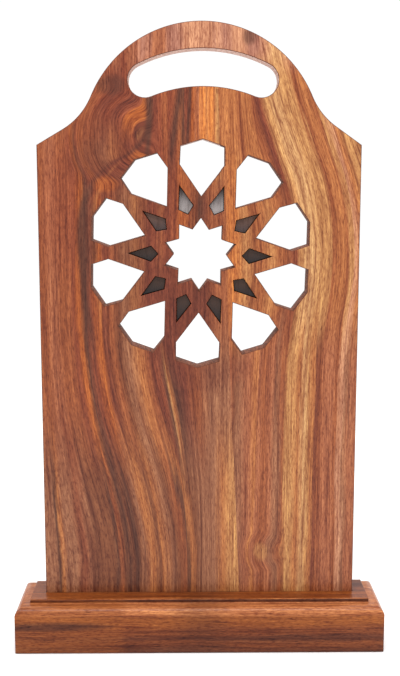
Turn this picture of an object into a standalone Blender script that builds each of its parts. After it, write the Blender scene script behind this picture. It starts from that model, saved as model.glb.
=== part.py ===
"""Arched, pierced wooden stand: two glued boards with a hand slot and a ten-fold rosette,
housed in a moulded plinth.

Metres, +Z up, front towards -Y. The origin is on the ground, at the middle of the plinth's
underside. Heights named ..._HEIGHT count from the plinth's top face.
"""
import math

import bmesh
import bpy
from mathutils import Vector

COLLECTION = "quran_stand"
GAP = 0.0003                # left between two pieces that touch

# Plinth: a solid block whose top edge is cut to a small step, a flat and a quarter round.
PLINTH_OVERHANG = 0.0203    # past each side of the panel
PLINTH_DEPTH = 0.0577
PLINTH_HEIGHT = 0.0374
STEP_DROP = 0.0033
STEP_FLAT = 0.0036
ROUND_RADIUS = 0.0066
GROOVE_DEPTH = 0.012

# Panel: straight sides, sloping shoulders, a scoop on each side and a round arch on top.
PANEL_WIDTH = 0.230
PANEL_THICKNESS = 0.018
PANEL_SETBACK = 0.0045      # the panel's middle stands this far behind the plinth's
SHOULDER_HEIGHT = 0.3305    # the arch springs from this level too
ARCH_RADIUS = 0.085
ARCH_SHIFT = 0.0017         # the hand-cut arch sits a little right of the middle
SCOOP_RADIUS = 0.0493
SCOOP_ANGLE = math.radians(23.4)

# Hand slot: a curved slot with round lobes at its ends.
BAR_HEIGHT = 0.0185         # wood left above the slot
SLOT_SHIFT = 0.0027
SLOT_OPENING = 0.0258
LOBE_RADIUS = 0.012
LOBE_SPREAD = 0.041         # each lobe's centre from the slot's middle
LOBE_DROP = 0.0217          # and below the slot's crown

# Rosette: a star, ten kite inlays round it and ten petals outside them.
ROSETTE_FOLDS = 10
ROSETTE_SHIFT = 0.0005
ROSETTE_DROP = 0.0777       # its centre below the shoulders
ROSETTE_TURN = math.radians(-1.42)
STAR_TIP = 0.0263
STAR_VALLEY = 0.0189
PETAL_POINTS = ((0.0418, 0.0), (0.0639, 0.0160), (0.0768, 0.0157), (0.0818, 0.0))
KITE_POINTS = ((0.0303, 0.0), (0.0353, 0.0054), (0.0510, 0.0))
INLAY_THICKNESS = 0.0030
INLAY_SINK = 0.0022         # the inlay's face below the panel's

# Glue seam between the boards: it leans, and passes left of the star's right inner corner.
SEAM_LEAN = math.radians(2.62)
SEAM_CLEARANCE = 0.0010

# Dowels across the seam, and wood screws up through the plinth into the boards' feet.
DOWEL_RADIUS = 0.003
DOWEL_LENGTH = 0.030
DOWEL_HOLE_SPARE = 0.001    # left at each end of a dowel
LOWER_DOWELS = 3
BAR_DOWEL_LEVEL = 0.42      # of the bar's height above the slot
SCREW_INSET = 0.035         # the outer screws from the panel's sides
SCREW_BITE = 0.0188         # the length inside a board
SCREW_SINK = 0.0012         # the head below the plinth's underside
SCREW_HEAD_RADIUS = 0.0042
SCREW_HEAD_HEIGHT = 0.0026
SHANK_RADIUS = 0.0021
THREAD_ROOT = 0.0015
THREAD_LENGTH = 0.026
THREAD_PITCH = 0.002
TIP_LENGTH = 0.004
DRIVE_SLOT_WIDTH = 0.0011
DRIVE_SLOT_DEPTH = 0.0013

ARC_STEPS = 36
ROUND_STEPS = 8
TURN_STEPS = 20
REACH = 0.6                 # size of a cutter that only has to be large

PLINTH_WIDTH = PANEL_WIDTH + 2 * PLINTH_OVERHANG
SCREW_SPREAD = PANEL_WIDTH / 2 - SCREW_INSET
SCREW_LENGTH = PLINTH_HEIGHT - GROOVE_DEPTH - SCREW_SINK + SCREW_BITE
CROWN_HEIGHT = SHOULDER_HEIGHT + ARCH_RADIUS
SLOT_CROWN = CROWN_HEIGHT - BAR_HEIGHT
ROSETTE_HEIGHT = SHOULDER_HEIGHT - ROSETTE_DROP
PETAL_REACH = PETAL_POINTS[-1][0]
ROSETTE_STEP = 2 * math.pi / ROSETTE_FOLDS


def start_scene():
    """Remove what the scene holds, and make one collection for parts and one for cutters."""
    for old in list(bpy.data.objects):
        bpy.data.objects.remove(old)
    groups = []
    for name in (COLLECTION, "cutters"):
        group = bpy.data.collections.new(name)
        bpy.context.scene.collection.children.link(group)
        groups.append(group)
    return groups


parts, cutters = start_scene()


def finish_material(name, colour, roughness, metallic=0.0):
    """A plain Principled finish."""
    material = bpy.data.materials.new(name)
    material.use_nodes = True
    shader = material.node_tree.nodes["Principled BSDF"]
    shader.inputs["Base Color"].default_value = (*colour, 1.0)
    shader.inputs["Roughness"].default_value = roughness
    shader.inputs["Metallic"].default_value = metallic
    return material


def add_object(name, mesh, group, material=None):
    """Put a mesh in the scene as a part, or as a hidden cutter."""
    item = bpy.data.objects.new(name, mesh)
    group.objects.link(item)
    if material:
        mesh.materials.append(material)
    if group is cutters:
        item.hide_render = True
        item.display_type = "WIRE"
    return item


def cut(item, cutter):
    """Take a cutter's volume out of a part."""
    step = item.modifiers.new(cutter.name, "BOOLEAN")
    step.operation = "DIFFERENCE"
    step.object = cutter


def box(name, size, centre, group, material=None):
    """A box of a full size about a centre."""
    mesh = bpy.data.meshes.new(name)
    shape = bmesh.new()
    bmesh.ops.create_cube(shape, size=1.0)
    bmesh.ops.scale(shape, vec=size, verts=shape.verts)
    shape.to_mesh(mesh)
    shape.free()
    item = add_object(name, mesh, group, material)
    item.location = centre
    return item


def flat_piece(name, loops, thickness, front, group, material=None):
    """A flat upright piece from closed outlines in X and Z; inner outlines are holes.

    front is the Y of its front face. Outline heights count from the plinth's top face.
    """
    curve = bpy.data.curves.new(name, "CURVE")
    curve.dimensions = "2D"
    curve.fill_mode = "BOTH"
    curve.extrude = thickness / 2
    for loop in loops:
        spline = curve.splines.new("POLY")
        spline.points.add(len(loop) - 1)
        for point, (x, z) in zip(spline.points, loop):
            point.co = (x, z, 0.0, 1.0)
        spline.use_cyclic_u = True
    sketch = bpy.data.objects.new(name + "_sketch", curve)
    cutters.objects.link(sketch)
    sketch.rotation_euler = (math.pi / 2, 0.0, 0.0)
    sketch.location = (0.0, front + thickness / 2, PLINTH_HEIGHT)
    bpy.context.view_layer.update()
    graph = bpy.context.evaluated_depsgraph_get()
    mesh = bpy.data.meshes.new_from_object(sketch.evaluated_get(graph))
    shape = bmesh.new()
    shape.from_mesh(mesh)
    bmesh.ops.remove_doubles(shape, verts=shape.verts, dist=1e-6)
    bmesh.ops.recalc_face_normals(shape, faces=shape.faces)
    shape.to_mesh(mesh)
    shape.free()
    mesh.name = name
    item = add_object(name, mesh, group, material)
    item.matrix_world = sketch.matrix_world
    bpy.data.objects.remove(sketch)
    return item


def turned_piece(name, profile, place, group, material=None):
    """A turned piece from radius and height pairs, listed from its top to its bottom."""
    mesh = bpy.data.meshes.new(name)
    points = [(radius, 0.0, height) for radius, height in profile]
    edges = [(i, i + 1) for i in range(len(points) - 1)]
    mesh.from_pydata(points, edges, [])
    item = add_object(name, mesh, group, material)
    item.location = place
    turn = item.modifiers.new("turn", "SCREW")
    turn.steps = TURN_STEPS
    turn.render_steps = TURN_STEPS
    turn.use_merge_vertices = True
    turn.merge_threshold = 1e-5
    return item


def arc(centre, radius, start, end, steps=ARC_STEPS):
    """Points along an arc, both ends included."""
    angles = [start + (end - start) * i / steps for i in range(steps + 1)]
    return [(centre[0] + radius * math.cos(a), centre[1] + radius * math.sin(a)) for a in angles]


def shifted(points, dx):
    """The same outline, moved sideways."""
    return [(x + dx, z) for x, z in points]


def mirrored(points):
    """The same run on the other side of the centre line, walked back."""
    return [(-x, z) for x, z in reversed(points)]


def panel_side(half_width):
    """The right half of the panel's outline, from the crown down to the foot."""
    spring = (0.0, SHOULDER_HEIGHT)
    reach = ARCH_RADIUS + SCOOP_RADIUS
    scoop = (reach * math.cos(SCOOP_ANGLE), SHOULDER_HEIGHT + reach * math.sin(SCOOP_ANGLE))
    corner = (half_width, SHOULDER_HEIGHT)
    away = math.atan2(corner[1] - scoop[1], corner[0] - scoop[0])
    opening = math.acos(SCOOP_RADIUS / math.dist(corner, scoop))
    arch = arc(spring, ARCH_RADIUS, math.pi / 2, SCOOP_ANGLE)
    hollow = arc(scoop, SCOOP_RADIUS, SCOOP_ANGLE - math.pi, away - opening)
    return arch + hollow[1:] + [corner, (half_width, -GROOVE_DEPTH)]


def panel_outline():
    """The whole panel's outline, with the arch a little off centre."""
    right = panel_side(PANEL_WIDTH / 2 - ARCH_SHIFT)
    left = panel_side(PANEL_WIDTH / 2 + ARCH_SHIFT)
    return shifted(right + mirrored(left)[:-1], ARCH_SHIFT)


def slot_outline():
    """The hand slot: a crown arc, a round lobe at each end and an arched lower edge."""
    lobe = (LOBE_SPREAD, SLOT_CROWN - LOBE_DROP)
    spread = LOBE_SPREAD ** 2 - LOBE_RADIUS ** 2
    top_radius = (spread + LOBE_DROP ** 2) / (2 * (LOBE_DROP - LOBE_RADIUS))
    rise = SLOT_OPENING - LOBE_DROP
    low_radius = (spread + rise ** 2) / (2 * (LOBE_RADIUS - rise))
    top = (0.0, SLOT_CROWN - top_radius)
    low = (0.0, SLOT_CROWN - SLOT_OPENING - low_radius)
    top_end = math.atan2(lobe[1] - top[1], lobe[0])
    low_end = math.atan2(lobe[1] - low[1], lobe[0])
    crown = arc(top, top_radius, math.pi / 2, top_end, ARC_STEPS // 2)
    end = arc(lobe, LOBE_RADIUS, top_end, low_end - math.pi, ARC_STEPS // 2)
    sill = arc(low, low_radius, low_end, math.pi / 2, ARC_STEPS // 2)
    right = crown + end[1:] + sill[1:]
    return shifted(right + mirrored(right)[1:-1], SLOT_SHIFT)


def ray_point(angle, out, side=0.0):
    """A point of the rosette: outwards along a ray, then sideways from it."""
    x = ROSETTE_SHIFT + out * math.cos(angle) - side * math.sin(angle)
    z = ROSETTE_HEIGHT + out * math.sin(angle) + side * math.cos(angle)
    return x, z


def petal_angle(index):
    """The ray of a petal, counted round from the top one."""
    return math.pi / 2 + ROSETTE_TURN + index * ROSETTE_STEP


def kite_angle(index):
    """The ray of a kite, half a step on from the petal before it."""
    return petal_angle(index + 0.5)


def outline_on_ray(half, angle, grow=0.0):
    """A shape symmetric about a ray, grown by an even margin."""
    right = [ray_point(angle, out, side) for out, side in half]
    left = [ray_point(angle, out, -side) for out, side in reversed(half[1:-1])]
    return grown(right + left, grow)


def grown(points, margin):
    """A convex outline, walked counter-clockwise, with each edge moved out by a margin."""
    result = []
    for i, corner in enumerate(points):
        before = Vector(points[i - 1]) - Vector(corner)
        after = Vector(points[(i + 1) % len(points)]) - Vector(corner)
        half_angle = before.angle(after) / 2
        bisector = (before.normalized() + after.normalized()).normalized()
        result.append(tuple(Vector(corner) - bisector * (margin / math.sin(half_angle))))
    return result


def star_outline():
    """The pierced star, tips on the petals' rays and valleys between them."""
    points = []
    for index in range(ROSETTE_FOLDS):
        points.append(ray_point(petal_angle(index), STAR_TIP))
        points.append(ray_point(kite_angle(index), STAR_VALLEY))
    return points


def seam_x(height):
    """Where the glue seam is at a height: it leans, just clear of the star's inner corner."""
    corner_x, corner_height = ray_point(ROSETTE_TURN, STAR_VALLEY)
    return corner_x - SEAM_CLEARANCE - (height - corner_height) * math.tan(SEAM_LEAN)


def seam_point(height):
    """The seam's middle, as a world position."""
    return Vector((seam_x(height), PANEL_SETBACK, PLINTH_HEIGHT + height))


def seam_cutters():
    """Two large boxes that meet at the seam: one clears each side of it."""
    across = Vector((math.cos(SEAM_LEAN), 0.0, math.sin(SEAM_LEAN)))
    middle = seam_point(CROWN_HEIGHT / 2)
    result = []
    for name, side in (("right_of_seam", 1), ("left_of_seam", -1)):
        centre = middle + across * side * (REACH / 2 - GAP / 2)
        cutter = box(name, (REACH, PANEL_THICKNESS * 2, REACH * 2), centre, cutters)
        cutter.rotation_euler = (0.0, -SEAM_LEAN, 0.0)
        result.append(cutter)
    return result


def dowel_heights():
    """Three dowels below the rosette, one above it and one in the bar over the slot."""
    clear = ROSETTE_HEIGHT - PETAL_REACH
    heights = [clear * (i + 0.5) / LOWER_DOWELS for i in range(LOWER_DOWELS)]
    petal_top = ROSETTE_HEIGHT + PETAL_REACH
    heights.append((petal_top + SLOT_CROWN - SLOT_OPENING) / 2)
    heights.append(SLOT_CROWN + BAR_HEIGHT * BAR_DOWEL_LEVEL)
    return heights


def dowel(name, height, gap, group, material=None):
    """A round pin square to the seam; with a gap, the hole for it."""
    length = DOWEL_LENGTH + (2 * DOWEL_HOLE_SPARE if gap else 0.0)
    mesh = bpy.data.meshes.new(name)
    shape = bmesh.new()
    bmesh.ops.create_cone(shape, cap_ends=True, segments=TURN_STEPS, radius1=DOWEL_RADIUS + gap,
                          radius2=DOWEL_RADIUS + gap, depth=length)
    shape.to_mesh(mesh)
    shape.free()
    item = add_object(name, mesh, group, material)
    item.rotation_euler = (0.0, math.pi / 2 - SEAM_LEAN, 0.0)
    item.location = seam_point(height)
    return item


def screw_profile():
    """A countersunk wood screw, point up, from its tip down to its head."""
    top = SCREW_SINK + SCREW_LENGTH
    points = [(0.0, top), (THREAD_ROOT, top - TIP_LENGTH)]
    turns = int((THREAD_LENGTH - TIP_LENGTH) / THREAD_PITCH)
    for turn in range(turns):
        crest = top - TIP_LENGTH - (turn + 0.5) * THREAD_PITCH
        points.append((SHANK_RADIUS, crest))
        points.append((THREAD_ROOT, crest - THREAD_PITCH / 2))
    neck = SCREW_SINK + SCREW_HEAD_HEIGHT
    points.append((SHANK_RADIUS, points[-1][1] - THREAD_PITCH / 2))
    points.append((SHANK_RADIUS, neck))
    points.append((SCREW_HEAD_RADIUS, SCREW_SINK + THREAD_PITCH / 8))
    points.append((SCREW_HEAD_RADIUS, SCREW_SINK))
    points.append((0.0, SCREW_SINK))
    return points


def screw_hole_profile():
    """The hole for a screw: pilot, shank and countersink, open through the underside."""
    top = SCREW_SINK + SCREW_LENGTH + GAP
    neck = SCREW_SINK + SCREW_HEAD_HEIGHT + GAP
    shank = SHANK_RADIUS + GAP
    head = SCREW_HEAD_RADIUS + GAP
    return [(0.0, top), (shank, top), (shank, neck), (head, SCREW_SINK + THREAD_PITCH / 8),
            (head, -SCREW_SINK), (0.0, -SCREW_SINK)]


def make_plinth(material):
    """The block, with its moulded edge built upwards from the square lower part."""
    drop = STEP_DROP + ROUND_RADIUS
    mesh = bpy.data.meshes.new("plinth")
    shape = bmesh.new()
    bmesh.ops.create_cube(shape, size=1.0)
    block = (PLINTH_WIDTH, PLINTH_DEPTH, PLINTH_HEIGHT - drop)
    bmesh.ops.scale(shape, vec=block, verts=shape.verts)
    bmesh.ops.translate(shape, vec=(0.0, 0.0, block[2] / 2), verts=shape.verts)
    top = max(shape.faces, key=lambda face: face.calc_center_median().z)
    quarter = arc((0.0, 0.0), ROUND_RADIUS, 0.0, math.pi / 2, ROUND_STEPS)
    moves = [(a[0] - b[0], b[1] - a[1]) for a, b in zip(quarter, quarter[1:])]
    moves.append((STEP_FLAT, 0.0))
    for inward, up in moves:
        bmesh.ops.inset_region(shape, faces=[top], thickness=inward, depth=up,
                               use_even_offset=True, use_boundary=True)
    raised = bmesh.ops.extrude_face_region(shape, geom=[top])["geom"]
    rim = [item for item in raised if isinstance(item, bmesh.types.BMVert)]
    bmesh.ops.delete(shape, geom=[top], context="FACES_ONLY")
    bmesh.ops.translate(shape, vec=(0.0, 0.0, STEP_DROP), verts=rim)
    bmesh.ops.recalc_face_normals(shape, faces=shape.faces)
    shape.to_mesh(mesh)
    shape.free()
    return add_object("plinth", mesh, parts, material)


sheesham = finish_material("sheesham_board", (0.26, 0.11, 0.05), 0.35)
plinth_wood = finish_material("sheesham_plinth", (0.20, 0.07, 0.035), 0.35)
horn = finish_material("polished_horn", (0.07, 0.05, 0.045), 0.3)
beech = finish_material("dowel_beech", (0.62, 0.45, 0.28), 0.7)
steel = finish_material("zinc_steel", (0.60, 0.60, 0.58), 0.35, 1.0)

panel_front = PANEL_SETBACK - PANEL_THICKNESS / 2
panel_loops = [panel_outline(), slot_outline(), star_outline()]
for fold in range(ROSETTE_FOLDS):
    panel_loops.append(outline_on_ray(PETAL_POINTS, petal_angle(fold)))

board_left = flat_piece("panel_board_left", panel_loops, PANEL_THICKNESS, panel_front, parts,
                        sheesham)
board_right = flat_piece("panel_board_right", panel_loops, PANEL_THICKNESS, panel_front, parts,
                         sheesham)
for board, clearing in zip((board_left, board_right), seam_cutters()):
    cut(board, clearing)

# Each kite inlay lies in a pocket cut from the front, and stays below the panel's face.
for fold in range(ROSETTE_FOLDS):
    label = f"{fold + 1:02d}"
    kite = outline_on_ray(KITE_POINTS, kite_angle(fold))
    flat_piece("kite_inlay_" + label, [kite], INLAY_THICKNESS, panel_front + INLAY_SINK, parts,
               horn)
    wide_kite = outline_on_ray(KITE_POINTS, kite_angle(fold), GAP)
    depth = INLAY_SINK + INLAY_THICKNESS + GAP
    pocket = flat_piece("pocket_" + label, [wide_kite], 2 * depth, panel_front - depth, cutters)
    for board in (board_left, board_right):
        cut(board, pocket)

for number, level in enumerate(dowel_heights(), 1):
    dowel(f"seam_dowel_{number}", level, 0.0, parts, beech)
    hole = dowel(f"dowel_hole_{number}", level, GAP, cutters)
    for board in (board_left, board_right):
        cut(board, hole)

plinth = make_plinth(plinth_wood)
groove_size = (PANEL_WIDTH + 2 * GAP, PANEL_THICKNESS + 2 * GAP, 2 * (GROOVE_DEPTH + GAP))
groove = box("groove", groove_size, (0.0, PANEL_SETBACK, PLINTH_HEIGHT), cutters)
cut(plinth, groove)

for number, place in enumerate((-SCREW_SPREAD, 0.0, SCREW_SPREAD), 1):
    foot = (place, PANEL_SETBACK, 0.0)
    screw = turned_piece(f"plinth_screw_{number}", screw_profile(), foot, parts, steel)
    drive_size = (SCREW_HEAD_RADIUS * 3, DRIVE_SLOT_WIDTH, DRIVE_SLOT_DEPTH * 2)
    drive = box(f"drive_slot_{number}", drive_size, (place, PANEL_SETBACK, SCREW_SINK), cutters)
    cut(screw, drive)
    hole = turned_piece(f"screw_hole_{number}", screw_hole_profile(), foot, cutters)
    for piece in (plinth, board_left, board_right):
        cut(piece, hole)
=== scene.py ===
import math

import bmesh
import bpy
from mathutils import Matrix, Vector


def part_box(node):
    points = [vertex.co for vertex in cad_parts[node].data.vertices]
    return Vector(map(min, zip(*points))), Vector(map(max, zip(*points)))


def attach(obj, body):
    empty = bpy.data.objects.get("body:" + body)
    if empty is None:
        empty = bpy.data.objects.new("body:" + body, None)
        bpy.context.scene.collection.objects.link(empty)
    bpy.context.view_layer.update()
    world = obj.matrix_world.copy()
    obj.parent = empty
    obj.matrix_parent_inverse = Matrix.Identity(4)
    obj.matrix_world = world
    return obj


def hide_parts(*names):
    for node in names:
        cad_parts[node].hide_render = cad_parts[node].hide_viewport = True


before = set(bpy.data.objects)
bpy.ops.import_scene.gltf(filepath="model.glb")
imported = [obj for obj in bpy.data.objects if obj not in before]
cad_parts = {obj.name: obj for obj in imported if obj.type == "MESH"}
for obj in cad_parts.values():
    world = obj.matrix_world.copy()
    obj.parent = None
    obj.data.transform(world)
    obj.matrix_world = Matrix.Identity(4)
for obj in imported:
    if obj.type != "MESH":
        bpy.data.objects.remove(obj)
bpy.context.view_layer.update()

# ---------------------------------------------------------------------------------------
# Studio: a camera level with the rosette's upper petals, a pale floor, white light from
# all round and two soft boxes overhead, one in front and one behind. The front one lights
# the plinth's moulding; the line of light along it is also painted into the plinth's colour.
# ---------------------------------------------------------------------------------------
camera_data = bpy.data.cameras.new("camera")
camera_data.lens = 55.63
camera_data.sensor_width = 36.0
camera = bpy.data.objects.new("camera", camera_data)
camera.location = (-0.0084, -0.7541, 0.3401)
camera.rotation_euler = (math.radians(90.0 - 8.35), 0.0, math.radians(-0.675))
bpy.context.scene.collection.objects.link(camera)
bpy.context.scene.camera = camera
bpy.context.scene.view_settings.view_transform = "Standard"

world = bpy.data.worlds.new("studio")
world.use_nodes = True
bpy.context.scene.world = world
sky = world.node_tree.nodes["Background"]
sky.inputs["Color"].default_value = (1.0, 1.0, 1.0, 1.0)
sky.inputs["Strength"].default_value = 1.04


def soft_box(name, width, height, place, target, watts):
    """A studio light that looks at a point."""
    data = bpy.data.lights.new(name, "AREA")
    data.shape = "RECTANGLE"
    data.size = width
    data.size_y = height
    data.energy = watts
    lamp = bpy.data.objects.new(name, data)
    lamp.location = place
    lamp.rotation_euler = (Vector(target) - Vector(place)).to_track_quat("-Z", "Y").to_euler()
    bpy.context.scene.collection.objects.link(lamp)


soft_box("overhead_light", 1.2, 0.16, (-0.10, -0.50, 1.15), (0.0, 0.0, 0.1), 9.0)
soft_box("back_light", 0.9, 0.45, (0.15, 0.60, 1.15), (0.0, 0.0, 0.1), 4.0)

FLOOR_DROP = 0.0003         # keeps the floor and the plinth's underside out of one plane
floor_shape = bmesh.new()
bmesh.ops.create_grid(floor_shape, x_segments=1, y_segments=1, size=4.0)
floor_mesh = bpy.data.meshes.new("floor")
bmesh.ops.translate(floor_shape, vec=(0.0, 0.0, -FLOOR_DROP), verts=floor_shape.verts)
floor_shape.to_mesh(floor_mesh)
floor_shape.free()
floor = bpy.data.objects.new("floor", floor_mesh)
bpy.context.scene.collection.objects.link(floor)
floor_finish = bpy.data.materials.new("pale_floor")
floor_finish.use_nodes = True
floor_shader = floor_finish.node_tree.nodes["Principled BSDF"]
floor_shader.inputs["Base Color"].default_value = (0.97, 0.97, 0.97, 1.0)
floor_shader.inputs["Roughness"].default_value = 0.9
floor_mesh.materials.append(floor_finish)


# ---------------------------------------------------------------------------------------
# Panel boards: two upright pieces of sheesham, edge-glued along a seam that leans slightly,
# sawn to the arch, pierced, eased at the arrises and lacquered to a satin finish. Heights
# in their figure count from the plinth's top, in millimetres.
# ---------------------------------------------------------------------------------------
class Field:
    """A value that varies over a piece, with the arithmetic that mixes such values."""

    def __init__(self, tree, socket):
        self.tree = tree
        self.socket = socket

    def feed(self, socket, value):
        """Give a node's socket a field or a plain number."""
        if isinstance(value, Field):
            self.tree.links.new(value.socket, socket)
        else:
            socket.default_value = value

    def combine(self, kind, *others):
        """This value and others through one Math node."""
        node = self.tree.nodes.new("ShaderNodeMath")
        node.operation = kind
        for socket, value in zip(node.inputs, (self, *others)):
            self.feed(socket, value)
        return Field(self.tree, node.outputs[0])

    def __add__(self, other):
        return self.combine("ADD", other)

    def __sub__(self, other):
        return self.combine("SUBTRACT", other)

    def __mul__(self, other):
        return self.combine("MULTIPLY", other)

    def ramp(self, low, high):
        """0 up to one value, 1 from the other on, and smooth between them."""
        node = self.tree.nodes.new("ShaderNodeMapRange")
        node.interpolation_type = "SMOOTHSTEP"
        self.feed(node.inputs["Value"], self)
        node.inputs["From Min"].default_value = low
        node.inputs["From Max"].default_value = high
        return Field(self.tree, node.outputs["Result"])

    def bell(self, reach):
        """1 at zero, falling smoothly to 0 at a reach on either side."""
        return self.combine("ABSOLUTE").ramp(reach, 0.0)

    def curve(self, points, low=-120.0, high=120.0, top=430.0):
        """A smooth curve through points: this value from 0 to top gives one from low to high."""
        node = self.tree.nodes.new("ShaderNodeFloatCurve")
        line = node.mapping.curves[0]
        for _ in range(len(points) - 2):
            line.points.new(0.5, 0.5)
        for point, (place, value) in zip(line.points, points):
            point.location = (place / top, (value - low) / (high - low))
        node.mapping.update()
        self.tree.links.new((self * (1.0 / top)).socket, node.inputs["Value"])
        return Field(self.tree, node.outputs[0]) * (high - low) + low


def start_finish(name):
    """A material, its node tree, and the piece's own X, Y and Z in millimetres."""
    finish = bpy.data.materials.new(name)
    finish.use_nodes = True
    tree = finish.node_tree
    place = tree.nodes.new("ShaderNodeTexCoord")
    split = tree.nodes.new("ShaderNodeSeparateXYZ")
    tree.links.new(place.outputs["Object"], split.inputs[0])
    return finish, tree, [Field(tree, socket) * 1000.0 for socket in split.outputs]


def cloud(across, depth, along, period, stretch, detail=3.0, rough=0.55, shift=0.0):
    """Smooth noise from 0 to 1 with one period across the grain and a longer one along it."""
    tree = across.tree
    join = tree.nodes.new("ShaderNodeCombineXYZ")
    scales = (1.0 / period, 1.0 / period, 1.0 / (period * stretch))
    for socket, value, scale in zip(join.inputs, (across, depth, along), scales):
        tree.links.new((value * scale + shift).socket, socket)
    noise = tree.nodes.new("ShaderNodeTexNoise")
    tree.links.new(join.outputs[0], noise.inputs["Vector"])
    noise.inputs["Scale"].default_value = 1.0
    noise.inputs["Detail"].default_value = detail
    noise.inputs["Roughness"].default_value = rough
    return Field(tree, noise.outputs["Fac"])


def spot(x, z, middle, reach):
    """1 at a place on the board, falling smoothly to 0 round an ellipse."""
    across = (x - middle[0]) * (1.0 / reach[0])
    up = (z - middle[1]) * (1.0 / reach[1])
    return (across * across + up * up).ramp(1.0, 0.05)


def blend(share, first, second, mode="MIX"):
    """Two colours mixed by a share. A colour is a socket or a plain triple."""
    node = share.tree.nodes.new("ShaderNodeMix")
    node.data_type = "RGBA"
    node.blend_type = mode
    share.tree.links.new(share.socket, node.inputs[0])
    for socket, colour in zip((node.inputs[6], node.inputs[7]), (first, second)):
        if isinstance(colour, tuple):
            socket.default_value = (*colour, 1.0)
        else:
            share.tree.links.new(colour, socket)
    return node.outputs[2]


def stripes(across, tones):
    """A colour for each place across the grain, from a list of places and tones."""
    tree = across.tree
    low = tones[0][0]
    high = tones[-1][0]
    node = tree.nodes.new("ShaderNodeValToRGB")
    colours = node.color_ramp.elements
    for _ in range(len(tones) - 2):
        colours.new(0.5)
    for element, (place, tone) in zip(colours, tones):
        element.position = (place - low) / (high - low)
        element.color = (*tone, 1.0)
    tree.links.new(((across - low) * (1.0 / (high - low))).socket, node.inputs[0])
    return node.outputs[0]


GROWTH_LINE = (0.46, 0.26, 0.22)
PORE = (0.34, 0.20, 0.16)
BRIGHT_LINE = (1.35, 1.50, 1.50)


def ragged(across, depth, along):
    """A place across the grain with its edges frayed, so that no stripe runs as a clean band."""
    slow = cloud(across, depth, along, 5.0, 26.0, 3.0, 0.6, 2.0) - 0.5
    quick = cloud(across, depth, along, 1.2, 34.0, 3.0, 0.6, 5.0) - 0.5
    return across + slow * 9.0 + quick * 5.0


def grained(colour, across, depth, along):
    """Lay the narrow growth lines, the fibres and the open pores over a wood colour."""
    broad = cloud(across, depth, along, 6.5, 34.0, 4.0, 0.68)
    narrow = cloud(across, depth, along, 1.9, 44.0, 4.0, 0.68, 3.0)
    fibre = cloud(across, depth, along, 0.8, 26.0, 3.0, 0.65, 11.0)
    fleck = cloud(across, depth, along, 0.7, 5.0, 2.0, 0.6, 17.0)
    pore = cloud(across, depth, along, 0.5, 14.0, 1.0, 0.5, 7.0).ramp(0.38, 0.27)
    colour = blend(broad.ramp(0.46, 0.28) * 0.75, colour, GROWTH_LINE, "MULTIPLY")
    colour = blend(narrow.ramp(0.50, 0.30) * 0.80, colour, GROWTH_LINE, "MULTIPLY")
    colour = blend(narrow.ramp(0.50, 0.70), colour, BRIGHT_LINE, "MULTIPLY")
    colour = blend(fibre.ramp(0.52, 0.30) * 0.60, colour, GROWTH_LINE, "MULTIPLY")
    colour = blend(fibre.ramp(0.52, 0.70) * 0.60, colour, BRIGHT_LINE, "MULTIPLY")
    colour = blend(fleck.ramp(0.50, 0.32) * 0.65, colour, GROWTH_LINE, "MULTIPLY")
    colour = blend(fleck.ramp(0.52, 0.72) * 0.65, colour, BRIGHT_LINE, "MULTIPLY")
    return blend(pore * 0.7, colour, PORE, "MULTIPLY"), fibre, pore


def satin(tree, colour, fibre, pore):
    """Join a grained colour to the shader, under a thin satin lacquer."""
    shader = tree.nodes["Principled BSDF"]
    tree.links.new(colour, shader.inputs["Base Color"])
    tree.links.new((fibre * 0.14 + 0.30 + pore * 0.25).socket, shader.inputs["Roughness"])
    bump = tree.nodes.new("ShaderNodeBump")
    bump.inputs["Strength"].default_value = 0.3
    bump.inputs["Distance"].default_value = 0.0002
    tree.links.new((fibre * 0.5 - pore).socket, bump.inputs["Height"])
    tree.links.new(bump.outputs[0], shader.inputs["Normal"])
    shader.inputs["Specular IOR Level"].default_value = 0.26
    shader.inputs["Coat Weight"].default_value = 0.05
    shader.inputs["Coat Roughness"].default_value = 0.25


PEACH = (0.46, 0.200, 0.105)
DUST = (0.34, 0.138, 0.088)
PALE = (0.475, 0.240, 0.096)
GOLD = (0.425, 0.190, 0.065)
AMBER = (0.57, 0.180, 0.036)
TAN = (0.37, 0.122, 0.036)
ROSE = (0.31, 0.096, 0.040)
ORANGE = (0.34, 0.082, 0.015)
ASH = (0.25, 0.092, 0.043)
RUST = (0.25, 0.064, 0.020)
RED = (0.20, 0.042, 0.016)
BROWN = (0.165, 0.048, 0.019)
WINE = (0.13, 0.026, 0.012)
UMBER = (0.080, 0.024, 0.013)

PLINTH_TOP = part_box("plinth")[1].z * 1000.0


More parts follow.
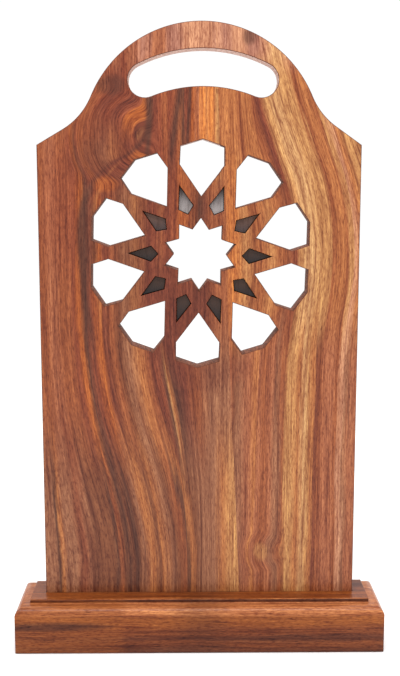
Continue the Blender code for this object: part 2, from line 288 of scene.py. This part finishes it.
def left_board_finish():
    """Red-brown sheesham: its lines lean at the foot and swirl round a knot at the shoulder."""
    finish, tree, (x, y, height) = start_finish("left_board_sheesham")
    rise = height - PLINTH_TOP
    wander = cloud(x, y, rise, 38.0, 3.0, 2.0) - 0.5
    lean = x.ramp(-145.0, -45.0) * x.ramp(18.0, -24.0) * 33.0
    knot = spot(x, rise, (-64.0, 336.0), (36.0, 34.0))
    flow = x - lean * rise.ramp(205.0, 15.0) + wander * 3.5 + knot * 15.0
    across = ragged(flow, y, rise)
    foot = stripes(across + lean, [
        (-116, ASH), (-107, ASH), (-104, UMBER), (-101, TAN), (-97, ASH), (-91, ASH),
        (-86, ROSE), (-80, ASH), (-73, BROWN), (-62, BROWN), (-60, UMBER), (-58, RUST),
        (-55, BROWN), (-52, UMBER), (-49, BROWN), (-46, UMBER), (-43, BROWN), (-40, ASH),
        (-35, TAN), (-30, BROWN), (-26, TAN), (-20, ASH), (-15, BROWN), (-11, RUST),
        (-8, UMBER), (-5, TAN), (-2, BROWN), (4, ASH), (12, ASH), (16, TAN), (27, GOLD),
        (34, TAN)])
    waist = stripes(across, [
        (-118, RUST), (-112, RUST), (-106, ROSE), (-100, RUST), (-95, RUST), (-90, RED),
        (-86, ORANGE), (-82, UMBER), (-78, RED), (-72, ORANGE), (-69, WINE), (-63, RUST),
        (-58, BROWN), (-53, ASH), (-46, TAN), (-40, RUST), (-36, WINE), (-33, RED),
        (-30, UMBER), (-28, GOLD), (-26.5, TAN), (-24, UMBER), (-14, WINE), (-5, RUST),
        (6, ASH), (12, ASH), (20, ASH), (34, ROSE)])
    upper = stripes(across, [
        (-100, ROSE), (-90, RUST), (-84, RUST), (-76, RED), (-70, RUST), (-63, RED),
        (-57, WINE), (-50, RED), (-45, WINE), (-41, RED), (-38, ORANGE), (-34, ORANGE),
        (-32, WINE), (-28, RED), (-24, RUST), (-20, RED), (-14, RUST), (-11, UMBER), (-9, RED),
        (-7, WINE), (-4, ORANGE), (-1, ROSE), (1, AMBER), (5, TAN), (9, AMBER), (14, GOLD)])
    bar = stripes(ragged(x + wander * 9.0, y, rise), [
        (-75, RED), (-66, RUST), (-58, ROSE), (-52, RED), (-46, ROSE), (-38, DUST), (-31, ROSE),
        (-25, ROSE), (-20, DUST), (-14, DUST), (-9, PEACH), (-4, PEACH), (2, PEACH), (8, PEACH),
        (14, DUST)])
    colour = blend((rise + wander * 30.0).ramp(70.0, 150.0), foot, waist)
    streak = rise.curve([(0, -74), (180, -77), (240, -84), (285, -83), (312, -69), (326, -48),
                         (340, -37), (370, -36), (430, -36)])
    past_streak = (across - knot * 15.0 - streak).ramp(-6.0, 2.0) * rise.ramp(285.0, 318.0)
    above = (rise + wander * 20.0).ramp(325.0, 355.0)
    colour = blend(past_streak.combine("MAXIMUM", above), colour, upper)
    colour = blend((rise + wander * 20.0).ramp(374.0, 396.0), colour, bar)
    centre = spot(x, rise, (0.5, 252.8), (92.0, 92.0)) * x.ramp(-92.0, -66.0)
    low_centre = spot(x + wander * 10.0, rise, (-17.0, 212.0), (34.0, 56.0))
    colour = blend(centre * 0.85, colour, stripes(across, [
        (-80, RUST), (-66, RED), (-56, BROWN), (-45, BROWN), (-36, WINE), (-30, RED), (-20, RED),
        (-12, ORANGE), (-6, RUST), (-1, UMBER), (4, WINE), (9, RUST), (20, RUST)]))
    colour = blend(low_centre * 0.92, colour, WINE)
    colour = blend((x - streak + wander * 3.0).bell(4.5) * rise.ramp(165.0, 215.0) * 0.9
                   * rise.ramp(385.0, 365.0), colour, UMBER)
    glow = rise.curve([(0, -70), (200, -71), (262, -75), (290, -74), (306, -67), (318, -57)])
    colour = blend((x - glow + wander * 3.0).bell(2.2) * rise.ramp(190.0, 220.0) * 0.75
                   * rise.ramp(322.0, 314.0), colour, TAN)
    for path, reach, strength in [
            ([(0, -20), (322, -20), (345, -17), (375, -13), (430, -12)], 4.5, 0.95),
            ([(0, -37), (322, -37), (345, -35), (375, -34), (430, -33)], 3.5, 1.00),
            ([(0, -9), (322, -9), (345, -8), (375, -6), (430, -5)], 2.2, 0.85)]:
        line = (x - rise.curve(path) + wander * 3.0).bell(reach)
        line = line * rise.ramp(300.0, 335.0) * rise.ramp(392.0, 368.0)
        colour = blend(line * strength, colour, UMBER)
    for middle, reach, strength, tone in [
            ((-68.0, 324.0), (34.0, 34.0), 0.65, WINE), ((-79.0, 268.0), (9.0, 46.0), 0.6, UMBER),
            ((-62.0, 372.0), (14.0, 9.0), 0.6, UMBER), ((-66.0, 303.0), (11.0, 7.0), 0.7, ORANGE),
            ((2.0, 164.0), (30.0, 15.0), 0.5, WINE),
            ((-99.0, 284.0), (16.0, 60.0), 0.6, RED), ((-80.0, 345.0), (16.0, 26.0), 0.35, RUST),
            ((-76.0, 322.0), (20.0, 16.0), 0.4, BROWN)]:
        colour = blend(spot(x + wander * 8.0, rise, middle, reach) * strength, colour, tone)
    colour, fibre, pore = grained(colour, flow, y, rise)
    satin(tree, colour, fibre, pore)
    return finish


def right_board_finish():
    """Tan and golden sheesham: a pale band runs its whole height and bends at the shoulder."""
    finish, tree, (x, y, height) = start_finish("right_board_sheesham")
    rise = height - PLINTH_TOP
    wander = cloud(x, y, rise, 38.0, 3.0, 2.0, 0.55, 5.0) - 0.5
    bend = rise.curve([(0, -2), (100, -1), (180, 0), (255, 6), (300, 0), (330, -10),
                       (365, -22), (400, -31), (430, -36)]) * x.ramp(18.0, 44.0)
    knot = spot(x, rise, (45.0, 31.0), (20.0, 16.0))
    flow = x - bend + wander * 3.5 + knot * 4.0
    across = ragged(flow, y, rise)
    lower = stripes(across, [
        (12, TAN), (22, ROSE), (25, BROWN), (28, ASH), (36, ROSE), (42, TAN), (45, ROSE),
        (48, RUST), (53, ROSE), (58, ASH), (62, RUST), (66, GOLD), (69, GOLD), (73, TAN),
        (77, PALE), (80, GOLD), (83, TAN), (85, WINE), (88, RUST), (93, ROSE), (97, ROSE),
        (101, RUST), (105, PEACH), (108, ASH), (111, ROSE), (116, ROSE)])
    upper = stripes(across, [
        (8, TAN), (20, TAN), (28, TAN), (35, RUST), (39, TAN), (50, TAN), (55, RUST),
        (59, WINE), (63, RED), (67, GOLD), (71, PALE), (76, PALE), (82, GOLD), (88, GOLD),
        (91, RUST), (94, TAN), (98, TAN), (101, RUST), (104, GOLD), (107, PEACH), (110, TAN),
        (116, GOLD)])
    bar = stripes(ragged(x + wander * 9.0, y, rise), [
        (10, PEACH), (18, DUST), (24, PEACH), (30, PEACH), (36, DUST), (40, DUST), (45, PEACH),
        (54, PALE), (62, PEACH), (68, DUST), (76, TAN)])
    colour = blend((rise + wander * 30.0).ramp(170.0, 230.0), lower, upper)
    colour = blend((rise + wander * 20.0).ramp(376.0, 398.0), colour, bar)
    centre = spot(x, rise, (0.5, 252.8), (88.0, 88.0)) * x.ramp(76.0, 58.0)
    colour = blend(centre * 0.7, colour, stripes(across, [
        (8, RED), (14, WINE), (19, RUST), (24, AMBER), (30, GOLD), (36, TAN), (40, RUST),
        (46, GOLD), (52, RUST), (60, TAN), (74, ROSE)]))
    for middle, reach, strength, tone in [
            ((35.0, 405.0), (6.0, 8.0), 0.7, UMBER), ((46.0, 31.0), (7.0, 9.0), 0.7, GOLD),
            ((66.0, 290.0), (9.0, 20.0), 0.3, RUST), ((24.0, 172.0), (18.0, 16.0), 0.4, RED)]:
        colour = blend(spot(x + wander * 8.0, rise, middle, reach) * strength, colour, tone)
    colour, fibre, pore = grained(colour, flow, y, rise)
    satin(tree, colour, fibre, pore)
    return finish


def plain_wood(name, tone, dark_tone, roughness, grain_period):
    """Two-tone cut wood in short lines across the thickness; also carries painted light and
    shade.
    """
    finish, tree, (x, y, z) = start_finish(name)
    mottle = cloud(x, z, y, grain_period, 4.0, 3.0, 0.6)
    colour = blend(mottle.ramp(0.35, 0.65), dark_tone, tone)
    shader = tree.nodes["Principled BSDF"]
    tree.links.new(colour, shader.inputs["Base Color"])
    tree.links.new((mottle * 0.2 + roughness).socket, shader.inputs["Roughness"])
    shader.inputs["Specular IOR Level"].default_value = 0.10
    return finish


def new_piece(name, shape, finishes):
    """Turn a finished shape into a mesh object at the origin that moves with the stand."""
    mesh = bpy.data.meshes.new(name)
    shape.to_mesh(mesh)
    shape.free()
    for finish in finishes:
        mesh.materials.append(finish)
    piece = bpy.data.objects.new(name, mesh)
    bpy.context.scene.collection.objects.link(piece)
    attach(piece, "root")
    return piece


def whole_copy(node):
    """A bmesh of a CAD node with its loose triangles merged into whole faces."""
    shape = bmesh.new()
    shape.from_mesh(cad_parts[node].data)
    for face in shape.faces:
        face.material_index = 0
    bmesh.ops.remove_doubles(shape, verts=shape.verts, dist=1e-6)
    bmesh.ops.dissolve_limit(shape, angle_limit=math.radians(0.4), verts=shape.verts,
                             edges=shape.edges, use_dissolve_boundaries=False)
    return shape


def ease(shape, edges, width, segments, finish_index=0):
    """Round a list of edges, and give the rounded strips a finish."""
    strips = bmesh.ops.bevel(shape, geom=edges, offset=width, segments=segments, profile=0.5,
                             affect="EDGES", clamp_overlap=False, material=-1)["faces"]
    for face in strips:
        face.material_index = finish_index


def shade(shape, sharp_angle):
    """Smooth shading, broken at edges sharper than an angle."""
    for face in shape.faces:
        face.smooth = True
    for edge in shape.edges:
        edge.smooth = edge.calc_face_angle(0.0) < sharp_angle


ARRIS = 0.00045
GLUE_SHARE = 0.00014        # how far each glued face moves to the glue line
POCKET_DEPTH = 0.0056
ROSETTE_REACH = 0.083
SLOT_REACH = 0.075
SHOULDER_HEIGHT = 330.5     # millimetres above the plinth's top, like the heights in the figure
ARCH_SHIFT = 0.0017
SEAM_LEAN = math.radians(2.62)
ON_PLANE = 1e-5             # a point this near a plane lies on it
WHOLE, ARRISES, OPENINGS, POCKETS, SLOT = range(5)
rosette_centre = (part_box("kite_inlay_03")[0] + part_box("kite_inlay_08")[1]) / 2
arch_centre = Vector((ARCH_SHIFT, 0.0, (PLINTH_TOP + SHOULDER_HEIGHT) / 1000.0))


def rim_edges(shape, front, back):
    """The edges round both faces of the panel, apart from those along the glue seam."""
    found = []
    for edge in shape.edges:
        depths = [vert.co.y for vert in edge.verts]
        on_face = any(all(abs(y - level) < ON_PLANE for y in depths) for level in (front, back))
        direction = (edge.verts[1].co - edge.verts[0].co).normalized()
        leaning = abs(abs(direction.z) - math.cos(SEAM_LEAN)) < 2e-5
        if on_face and edge.calc_face_angle(0.0) > 1.0 and not leaning:
            found.append(edge)
    return found


def close_seam(shape, side):
    """Bring a board's glued face up to the glue line; side is 1 for the left board."""
    across = Vector((math.cos(SEAM_LEAN), 0.0, math.sin(SEAM_LEAN))) * side
    reach = max(across.dot(vert.co) for vert in shape.verts)
    glued = [vert for vert in shape.verts if across.dot(vert.co) > reach - ON_PLANE]
    bmesh.ops.translate(shape, vec=across * GLUE_SHARE, verts=glued)


def distance_from(place, centre):
    """How far apart two places are on the panel's face."""
    return math.hypot(place.x - centre.x, place.z - centre.z)


board_looks = {
    "panel_board_left": (left_board_finish(), "board_left_wood"),
    "panel_board_right": (right_board_finish(), "board_right_wood"),
}
arris_finish = plain_wood("polished_arris", (0.15, 0.048, 0.025), (0.08, 0.025, 0.014), 0.34, 2.0)
sawn_finish = plain_wood("sawn_openings", (0.23, 0.078, 0.040), (0.08, 0.026, 0.014), 0.55, 1.2)
# The slot's pale pinkish walls are painted light, as if lit brightly from the floor.
slot_wall_painted_light = plain_wood("slot_walls_painted_light", (0.58, 0.40, 0.34), (0.42, 0.25, 0.19), 0.40, 1.6)
# The pockets' near-black walls are painted shade: the shadow in each recess round its inlay.
pocket_wall_painted_shade = plain_wood("pocket_walls_painted_shade", (0.045, 0.020, 0.014), (0.02, 0.010, 0.008),
                           0.45, 1.5)

for node, (finish, slot_name) in board_looks.items():
    lowest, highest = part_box(node)
    shape = whole_copy(node)
    close_seam(shape, 1 if node.endswith("left") else -1)
    for face in shape.faces:
        place = face.calc_center_median()
        wall = abs(face.normal.y) < 0.5
        in_arch = distance_from(place, arch_centre) < SLOT_REACH and place.z > arch_centre.z
        if wall and distance_from(place, rosette_centre) < ROSETTE_REACH:
            face.material_index = OPENINGS
        if wall and in_arch:
            face.material_index = SLOT
        if max(vert.co.y for vert in face.verts) < lowest.y + POCKET_DEPTH and wall:
            face.material_index = POCKETS
    rims = rim_edges(shape, lowest.y, highest.y)
    sawn_rims = [edge for edge in rims
                 if all(face.material_index != POCKETS for face in edge.link_faces)]
    ease(shape, sawn_rims, ARRIS, 2, ARRISES)
    pocket_rims = [edge for edge in rim_edges(shape, lowest.y, highest.y)
                   if any(face.material_index == POCKETS for face in edge.link_faces)]
    ease(shape, pocket_rims, ARRIS, 2, WHOLE)
    shade(shape, math.radians(28.0))
    for face in shape.faces:
        if abs(face.normal.y) > 0.999:
            face.smooth = False
    board = new_piece(node + "_eased", shape, [finish, arris_finish, sawn_finish, pocket_wall_painted_shade,
                                              slot_wall_painted_light])
    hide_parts(node)

# ---------------------------------------------------------------------------------------
# Plinth: one block of darker sheesham with its grain along the width, run past a moulding
# cutter on all four edges, grooved for the panel, sanded and lacquered like the boards.
# ---------------------------------------------------------------------------------------
PLINTH_ARRIS = 0.0005
MOULDING_HEIGHT = 0.0045    # the step's edges lie within this of the plinth's top
MOULDING_REACH = 0.0125     # and within this of its sides
# painted highlight: the line of light along the moulding's round and the plateau's arris
PLINTH_PAINTED_HIGHLIGHT = (0.41, 0.137, 0.047)
PLINTH_RUST = (0.26, 0.069, 0.013)
PLINTH_RED = (0.175, 0.042, 0.011)
PLINTH_BROWN = (0.12, 0.031, 0.012)
# dark streaks in the wood; also used for painted shade and a painted shadow line
PLINTH_DARK = (0.060, 0.015, 0.007)


def plinth_finish():
    """Dark red-brown wood; the left end is more orange, and dark streaks run into it."""
    finish, tree, (x, y, z) = start_finish("plinth_sheesham")
    wander = cloud(z, y, x, 9.0, 9.0, 2.0) - 0.5
    flow = z * 0.9 - y * 0.5 + wander * 5.0
    # The front face is darker towards its foot: painted shade, as the light comes from above.
    side = stripes(ragged(z + wander * 5.0, y, x), [
        (-4, PLINTH_DARK), (3, PLINTH_BROWN), (7, PLINTH_RED), (11, PLINTH_BROWN),
        (15, PLINTH_RED), (18, PLINTH_RED), (22, PLINTH_RUST), (26, PLINTH_RUST),
        (34, PLINTH_RED)])
    # Painted highlight on the quarter-round, its flat and the plateau's arris; painted shade on
    # the step's riser between.
    moulding = stripes(z + wander, [
        (26, PLINTH_RUST), (29, PLINTH_PAINTED_HIGHLIGHT), (34.4, PLINTH_PAINTED_HIGHLIGHT), (34.9, PLINTH_BROWN),
        (36.5, PLINTH_DARK), (37.4, PLINTH_PAINTED_HIGHLIGHT)])
    side = blend(z.ramp(26.5, 30.0), side, moulding)
    # The plateau's front and back edges carry painted highlight.
    top = stripes(ragged(y + wander * 4.0, z, x), [
        (-26, PLINTH_PAINTED_HIGHLIGHT), (-19, PLINTH_PAINTED_HIGHLIGHT), (-17.5, PLINTH_RUST), (-12, PLINTH_RED),
        (-8, PLINTH_RUST), (-4, PLINTH_RED), (14, PLINTH_BROWN), (20, PLINTH_RUST),
        (26, PLINTH_PAINTED_HIGHLIGHT)])
    on_top = z.ramp(PLINTH_TOP - 0.6, PLINTH_TOP - 0.2)
    colour = blend(on_top, side, top)
    colour = blend(x.ramp(-50.0, -62.0) * 0.45, colour, PLINTH_RUST)
    colour = blend((x + wander * 30.0).bell(30.0) * 0.35, colour, PLINTH_DARK)
    left_streak = spot(x + wander * 20.0, z + y * 0.2, (-110.0, 14.6), (56.0, 4.5))
    right_streak = spot(x, z + wander * 2.0, (75.0, 10.5), (85.0, 3.5))
    colour = blend(left_streak.combine("MAXIMUM", right_streak * 0.5) * 0.8, colour, PLINTH_DARK)
    # A painted shadow line on the plateau along the foot of the panel's front face.
    colour = blend((y + 4.6).bell(1.3) * on_top * 0.7, colour, PLINTH_DARK)
    colour, fibre, pore = grained(colour, flow, y, x)
    satin(tree, colour, fibre, pore)
    shader = tree.nodes["Principled BSDF"]
    shader.inputs["Specular IOR Level"].default_value = 0.15
    shader.inputs["Coat Weight"].default_value = 0.15
    shader.inputs["Coat Roughness"].default_value = 0.14
    return finish


def outer_arrises(shape, low, high):
    """The block's sharp edges, without the groove and the screw holes."""
    found = []
    for edge in shape.edges:
        middle = (edge.verts[0].co + edge.verts[1].co) / 2
        on_side = min(middle.x - low.x, high.x - middle.x, middle.y - low.y, high.y - middle.y)
        near_top = middle.z > high.z - MOULDING_HEIGHT
        if edge.calc_face_angle(0.0) < 0.9 or on_side > MOULDING_REACH:
            continue
        if on_side < ON_PLANE or near_top:
            found.append(edge)
    return found


lowest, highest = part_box("plinth")
shape = whole_copy("plinth")
ease(shape, outer_arrises(shape, lowest, highest), PLINTH_ARRIS, 2)
shade(shape, math.radians(24.0))
for face in shape.faces:
    if max(abs(value) for value in face.normal) > 0.9999:
        face.smooth = False
plinth = new_piece("plinth_eased", shape, [plinth_finish()])
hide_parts("plinth")

# ---------------------------------------------------------------------------------------
# Kite inlays: ten plates of dark horn, polished, each glued in its own pocket and left a
# little below the board's face. The plates differ: the two at the top are the palest.
# ---------------------------------------------------------------------------------------
INLAY_ARRIS = 0.00025
# Each pair of horn tones: the plate's upper end, then its lower end.
DARK_HORN = ((0.050, 0.026, 0.018), (0.022, 0.017, 0.017))
BROWN_HORN = ((0.110, 0.055, 0.038), (0.060, 0.040, 0.038))
# The pale plates' dark upper end is painted shade, cast by the pocket's upper wall.
PALE_HORN_PAINTED_SHADE = ((0.060, 0.045, 0.042), (0.300, 0.265, 0.258))
HORN_STREAK = (0.45, 0.40, 0.38)
horn_tones = {1: PALE_HORN_PAINTED_SHADE, 10: PALE_HORN_PAINTED_SHADE, 2: BROWN_HORN, 9: BROWN_HORN}


def horn_finish(name, tones, low, high):
    """Polished horn with faint long streaks, one tone at its upper end and another at its lower
    end.
    """
    finish, tree, (x, y, z) = start_finish(name)
    streak = cloud(x, y, z, 2.4, 7.0, 3.0, 0.6, low.x * 100.0)
    share = (z - low.z * 1000.0) * (1.0 / ((high.z - low.z) * 1000.0))
    # Blends the upper tone into the lower one; on the pale plates the upper tone is painted
    # shade.
    light = (share * -1.0 + 1.0 + (streak - 0.5) * 0.5).ramp(0.05, 1.0)
    colour = blend(light, *tones)
    colour = blend(streak.ramp(0.50, 0.34) * 0.5, colour, HORN_STREAK, "MULTIPLY")
    shader = tree.nodes["Principled BSDF"]
    tree.links.new(colour, shader.inputs["Base Color"])
    tree.links.new((streak * 0.15 + 0.20).socket, shader.inputs["Roughness"])
    shader.inputs["Specular IOR Level"].default_value = 0.22
    return finish


for number in range(1, 11):
    node = f"kite_inlay_{number:02d}"
    lowest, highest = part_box(node)
    shape = whole_copy(node)
    face_rim = [edge for edge in shape.edges
                if all(abs(vert.co.y - lowest.y) < ON_PLANE for vert in edge.verts)
                and edge.calc_face_angle(0.0) > 1.0]
    ease(shape, face_rim, INLAY_ARRIS, 2)
    shade(shape, math.radians(50.0))
    for face in shape.faces:
        if abs(face.normal.y) > 0.999:
            face.smooth = False
    finish = horn_finish(f"horn_{number:02d}", horn_tones.get(number, DARK_HORN), lowest, highest)
    inlay = new_piece(node + "_polished", shape, [finish])
    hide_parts(node)

# ---------------------------------------------------------------------------------------
# Seam dowels: five turned beech pins, glued in blind holes across the seam between the
# boards. They stay as modelled, with beech's pale colour, short flecks and no lacquer.
# ---------------------------------------------------------------------------------------
BEECH = (0.58, 0.40, 0.24)
BEECH_DARK = (0.50, 0.32, 0.18)
BEECH_FLECK = (0.36, 0.21, 0.11)

beech_finish, tree, (x, y, z) = start_finish("turned_beech")
grain = cloud(z, y, x, 0.9, 14.0, 3.0, 0.6)
fleck = cloud(z, y, x, 0.5, 5.0, 1.0, 0.5, 9.0)
colour = blend(grain.ramp(0.35, 0.65), BEECH_DARK, BEECH)
colour = blend(fleck.ramp(0.62, 0.70), colour, BEECH_FLECK)
beech = tree.nodes["Principled BSDF"]
tree.links.new(colour, beech.inputs["Base Color"])
tree.links.new((grain * 0.2 + 0.6).socket, beech.inputs["Roughness"])

# ---------------------------------------------------------------------------------------
# Plinth screws: three countersunk steel screws, zinc plated, driven up through the plinth
# into the boards' feet. Their slotted heads sit just below the underside.
# ---------------------------------------------------------------------------------------
ZINC = (0.68, 0.68, 0.66)
ZINC_DARK = (0.50, 0.50, 0.48)

zinc_finish, tree, (x, y, z) = start_finish("zinc_plate")
spangle = cloud(x, y, z, 1.6, 1.0, 3.0, 0.6)
rubbed = cloud(x, y, z, 0.35, 3.0, 2.0, 0.6, 4.0)
colour = blend(spangle.ramp(0.35, 0.65), ZINC_DARK, ZINC)
zinc = tree.nodes["Principled BSDF"]
tree.links.new(colour, zinc.inputs["Base Color"])
tree.links.new((rubbed * 0.25 + 0.22).socket, zinc.inputs["Roughness"])
zinc.inputs["Metallic"].default_value = 1.0

for node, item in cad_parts.items():
    if node.startswith("seam_dowel"):
        item.material_slots[0].material = beech_finish
    if node.startswith("plinth_screw"):
        item.material_slots[0].material = zinc_finish
